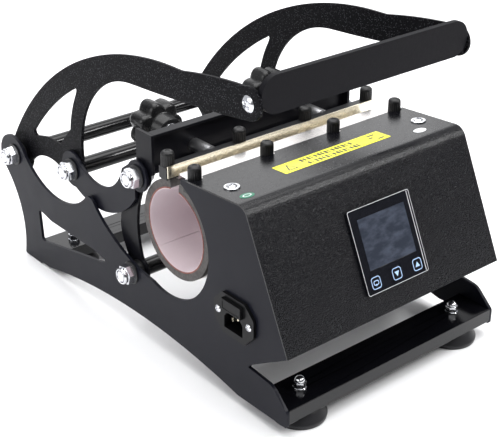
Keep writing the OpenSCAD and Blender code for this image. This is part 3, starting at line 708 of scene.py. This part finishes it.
foam_lo, foam_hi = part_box("front_foam")
foam_r = 47 * MM
heater = (foam_lo.y + foam_r, foam_lo.z + foam_r)
rims = (("front_mat_rim", "base", 99, 315), ("rear_mat_rim", "heater_rear", -44.4, 81.5))
for name, body, a0, a1 in rims:
    bm = bmesh.new()
    for sign in (-1, 1):
        x = sign * foam_hi.x
        arc_strip(bm, heater, 38.6, 39.9, x - sign * 1.5 * MM, x + sign * 0.35 * MM, a0, a1)
    finish(name, bm, RIM, body)


# ---- Key symbols, panel edge and label print ----

panel_lo, panel_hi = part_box("controller_panel")
# The shell's face leans back 54 mm over a height of 116 mm
slope = math.atan2(54.0, 116.0)
outward = Vector((0, -math.cos(slope), math.sin(slope)))
uphill = Vector((0, math.sin(slope), math.cos(slope)))
panel_x = (panel_lo.x + panel_hi.x) / 2
panel_mid = middle((panel_lo, panel_hi)) + outward * 1.25 * MM


def flat_frame(bm, place, outer, inner, z0, z1):
    """Flat ring between two outlines of equal length, in mm."""
    loops = []
    for outline, z in ((outer, z0), (outer, z1), (inner, z1), (inner, z0)):
        loops.append([place @ Vector((p[0] * MM, p[1] * MM, z * MM)) for p in outline])
    rings(bm, loops, closed=True)


for key in ("timer_key", "down_key", "up_key"):
    key_x = middle(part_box(key)).x
    points = [v.co - panel_mid for v in node_of[key].data.vertices]
    top = max(p.dot(outward) for p in points)
    heights = [p.dot(uphill) for p in points if p.dot(outward) > top - 1e-5]
    mid_v = (min(heights) + max(heights)) / 2
    centre = panel_mid + uphill * mid_v + outward * top + Vector((key_x - panel_x, 0, 0))
    place = frame_at(centre, outward, (1, 0, 0))
    bm = bmesh.new()
    flat_frame(bm, place, rounded_box(10.6, 10.6, 2.6), rounded_box(9.2, 9.2, 1.9), -0.05, 0.08)
    if key == "timer_key":
        flat_frame(bm, place, rounded_box(6.0, 4.2, 1.6), rounded_box(4.6, 2.8, 1.0), -0.05, 0.08)
        prism(bm, place, [(-0.6, -3.0), (1.2, -1.9), (-0.6, -0.8)], -0.05, 0.09)
    else:
        s = -1 if key == "down_key" else 1
        tri = [(-2.7, -2.0 * s), (2.7, -2.0 * s), (0, 2.4 * s)]
        prism(bm, place, tri if s > 0 else tri[::-1], -0.05, 0.08)
    finish(key + "_symbol", bm, CYAN, key)

place = frame_at(panel_mid, outward, (1, 0, 0))
bm = bmesh.new()
flat_frame(bm, place, rounded_box(73, 74, 2), rounded_box(72.2, 73.2, 1.7), -0.02, 0.1)
prism(bm, place, [(33.4, -36), (34.0, -36), (34.0, 36), (33.4, 36)], -0.02, 0.1)
finish("panel_clear_edge", bm, EDGE, "base")



def bar(bm, place, x0, y0, wide, high):
    """Printed bar on a label, its lower left corner at x0, y0."""
    outline = [(x0, y0), (x0 + wide, y0), (x0 + wide, y0 + high), (x0, y0 + high)]
    prism(bm, place, outline, 0.0, 0.13, mat=3)


label_boxes = sorted(islands("labels"), key=lambda b: b[0].x)
bm = bmesh.new()
for index, box in enumerate(label_boxes):
    place = frame_at(middle(box), top_normal, (1, 0, 0))
    if index == 1:
        w, d = (box[1].x - box[0].x) / MM, (box[1].y - box[0].y) / MM
        prism(bm, place, rounded_box(w, d, 1.0), -0.1, 0.1, 0.05, mat=0)
        tri = [(-w / 2 + 6, -d / 2 + 3.5), (-w / 2 + 18, -d / 2 + 3.5), (-w / 2 + 12, d / 2 - 3.5)]
        small = [(-w / 2 + 8.2, -d / 2 + 4.8), (-w / 2 + 15.8, -d / 2 + 4.8), (-w / 2 + 12, d / 2 - 6.2)]
        loops = []
        for outline, z in ((tri, 0.0), (tri, 0.13), (small, 0.13), (small, 0.0)):
            loops.append([place @ Vector((p[0] * MM, p[1] * MM, z * MM)) for p in outline])
        rings(bm, loops, closed=True, mat=3)
        widths = (3.0, 2.2, 2.8, 1.2, 2.6)
        for row, y0 in enumerate((1.0, -7.2)):
            for k in range(15):
                bar(bm, place, -w / 2 + 27 + k * 4.1 + 2.5 * row, y0, widths[(k + 2 * row) % 5], 5.6)
        for k, (x0, wide) in enumerate(((-17, 9), (-19, 5), (-12, 7))):
            bar(bm, place, w / 2 + x0, 3.5 - 5 * k, wide, 2.2)
    else:
        angles = [math.radians(a) for a in range(0, 360, 10)]
        oval = [(7 * math.cos(a), 4.5 * math.sin(a)) for a in angles]
        small = [(p[0] * 0.62, p[1] * 0.5) for p in oval]
        prism(bm, place, oval, -0.1, 0.1, 0.04, mat=1 if index == 0 else 2)
        if index == 0:
            loops = []
            for k, z in ((1.0, 0.05), (1.0, 0.13), (0.78, 0.13), (0.78, 0.05)):
                loops.append([place @ Vector((p[0] * k * MM, p[1] * k * MM, z * MM)) for p in small])
            rings(bm, loops, closed=True, mat=2)
finish("printed_labels", bm, [YELLOW, GREEN, WHITE, INK], "base", ("labels",))


# ---- Fuse drawer lip ----

lo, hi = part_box("fuse_drawer")
bm = bmesh.new()
mid = middle((lo, hi))
mid.x = lo.x
place = frame_at(mid, (-1, 0, 0), (0, 1, 0))
w, h = (hi.y - lo.y) / MM, (hi.z - lo.z) / MM
flat_frame(bm, place, rounded_box(w - 0.4, h - 0.4, 1.0), rounded_box(w - 3.0, h - 3.0, 0.8), -0.3, 0.35)
finish("fuse_drawer_rim", bm, INLET, "fuse_drawer")


# ---- Softened edges ----

for name in ("left_base_plate", "right_base_plate", "left_arm", "right_arm", "left_link", "right_link",
             "left_rocker", "right_rocker"):
    bevelled(name, 0.35)
for name in ("front_cross_plate", "rear_cross_plate", "press_beam", "handle_bar", "rear_clamp_bar"):
    bevelled(name, 0.5)
for name in ("controller_panel", "power_inlet", "fuse_drawer", "timer_key", "down_key", "up_key"):
    bevelled(name, 0.3)


# ---- Floor and light ----

bm = bmesh.new()
rings(bm, [[Vector((x, y, 0)) for x, y in ((-6, -6), (6, -6), (6, 6), (-6, 6))],
           [Vector((x, y, -0.01)) for x, y in ((-6, -6), (6, -6), (6, 6), (-6, 6))]])
mesh = bpy.data.meshes.new("floor")
bmesh.ops.recalc_face_normals(bm, faces=bm.faces)
bm.to_mesh(mesh)
bm.free()
floor = bpy.data.objects.new("floor", mesh)
bpy.context.scene.collection.objects.link(floor)
floor_shader = Shader("floor_white", (0.9, 0.9, 0.91), 0.55)
floor_shader.mix(floor_shader.ramp(floor_shader.noise(3, 2), 0.4, 0.7, 0.0, 0.3), (0.92, 0.92, 0.92))
floor.data.materials.append(floor_shader.mat)


def area_light(name, place, target, size, power, size_y=None, color=(1, 1, 1)):
    light = bpy.data.lights.new(name, "AREA")
    light.shape = "RECTANGLE"
    light.size = size
    light.size_y = size_y or size
    light.energy = power
    light.color = color
    obj = bpy.data.objects.new(name, light)
    bpy.context.scene.collection.objects.link(obj)
    obj.location = place
    obj.rotation_euler = (Vector(target) - Vector(place)).to_track_quat("-Z", "Y").to_euler()
    return obj


area_light("overhead", (0.1, 0.1, 2.6), (0, 0, 0), 2.8, 98)
area_light("rear_wall", (1.3, 2.2, 1.4), (0, 0, 0.1), 2.2, 14, 1.6)
area_light("left_wall", (-2.2, 0.2, 1.2), (0, 0, 0.1), 1.8, 20, 1.2)
area_light("front_strip_light", (1.15, -1.2, 1.35), (0, 0, 0.15), 0.9, 20, 0.3)
area_light("front_fill", (-0.3, -2.0, 2.6), (0, -0.3, 0), 2.4, 26)

world = bpy.data.worlds.new("studio")
bpy.context.scene.world = world
world.use_nodes = True
tree = world.node_tree
bg = tree.nodes["Background"]
coord = tree.nodes.new("ShaderNodeTexCoord")
split = tree.nodes.new("ShaderNodeSeparateXYZ")
tree.links.new(coord.outputs["Generated"], split.inputs["Vector"])
depth = tree.nodes.new("ShaderNodeMapRange")
for key, value in zip(("From Min", "From Max", "To Min", "To Max"), (-0.7, 0.6, 0.1, 0.65)):
    depth.inputs[key].default_value = value
tree.links.new(split.outputs["Y"], depth.inputs["Value"])
tree.links.new(depth.outputs["Result"], bg.inputs["Strength"])
bg.inputs["Color"].default_value = (0.96, 0.97, 1.0, 1.0)
